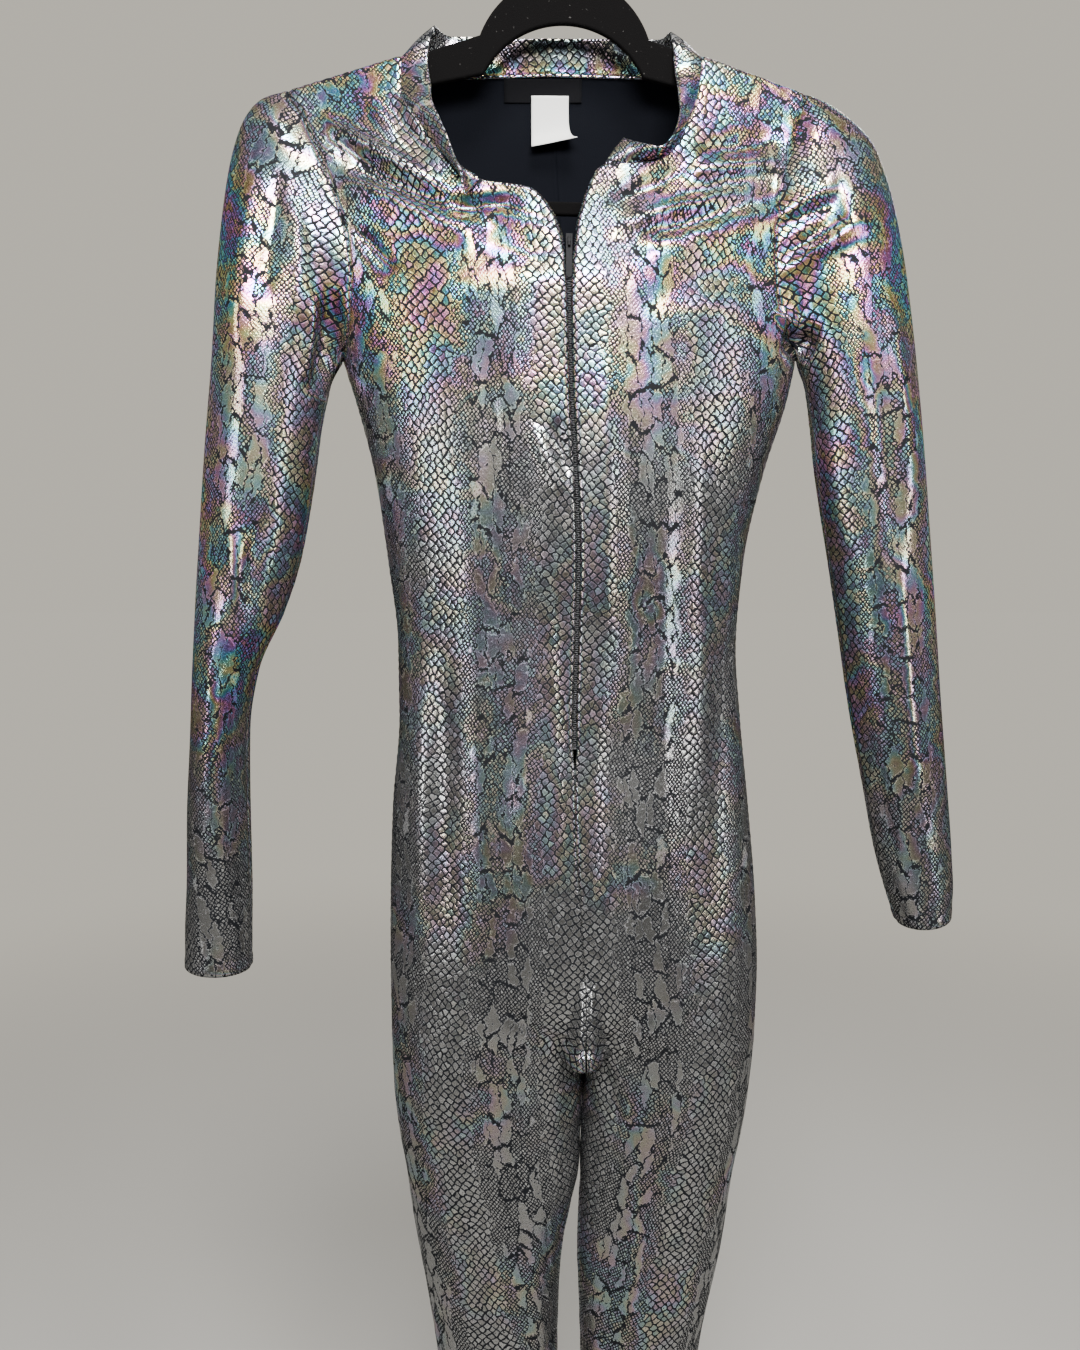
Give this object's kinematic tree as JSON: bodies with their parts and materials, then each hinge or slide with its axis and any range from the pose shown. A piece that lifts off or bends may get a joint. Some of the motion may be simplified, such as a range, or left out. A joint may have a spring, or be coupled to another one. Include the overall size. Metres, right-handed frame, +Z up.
{
  "type": "long-sleeved zip-front dance unitard on a flocked hanger",
  "caption": "Full-length stretch unitard with a stand collar, long sleeves and a front zip, in snakeskin foil print, hanging on a slim flocked hanger.",
  "frame": {"origin": "inside top of the hanger's hook, where the rod sits", "axes": "+Z up, the front with the zip faces -Y, +X is the wearer's left (the viewer's right)"},
  "size_m": [0.568, 0.1205, 1.5235],
  "materials": {
    "foil_cloth": "black stretch knit with a silver snakeskin foil print",
    "zip": "black woven tape and coil",
    "zip_metal": "black enamel",
    "label": "black woven",
    "tag": "white satin ribbon",
    "flock": "black flocking over plastic",
    "hook_wire": "polished"
  },
  "bodies": {
    "garment": {"front_right_yoke": "foil_cloth", "front_right_trunk": "foil_cloth", "front_right_thigh": "foil_cloth", "front_right_calf": "foil_cloth", "front_left_yoke": "foil_cloth", "front_left_trunk": "foil_cloth", "front_left_thigh": "foil_cloth", "front_left_calf": "foil_cloth", "back_right_yoke": "foil_cloth", "back_right_trunk": "foil_cloth", "back_right_thigh": "foil_cloth", "back_right_calf": "foil_cloth", "back_left_yoke": "foil_cloth", "back_left_trunk": "foil_cloth", "back_left_thigh": "foil_cloth", "back_left_calf": "foil_cloth", "sleeve_right": "foil_cloth", "sleeve_left": "foil_cloth", "collar": "foil_cloth", "zip_tape_right": "zip", "zip_tape_left": "zip", "zip_chain": "zip", "zip_slider": "zip_metal", "neck_label": "label", "care_tag": "tag", "hanger": "flock", "hook": "hook_wire"},
    "pull_tab": {"zip_pull": "zip_metal"}
  },
  "joints": [
    {"name": "zip_pull", "type": "hinge", "parent": "garment", "child": "pull_tab", "pos_m": [-0.0001, -0.05174, -0.24081], "axis": [-1, 0, 0], "range_deg": [0, 150]}
  ]
}
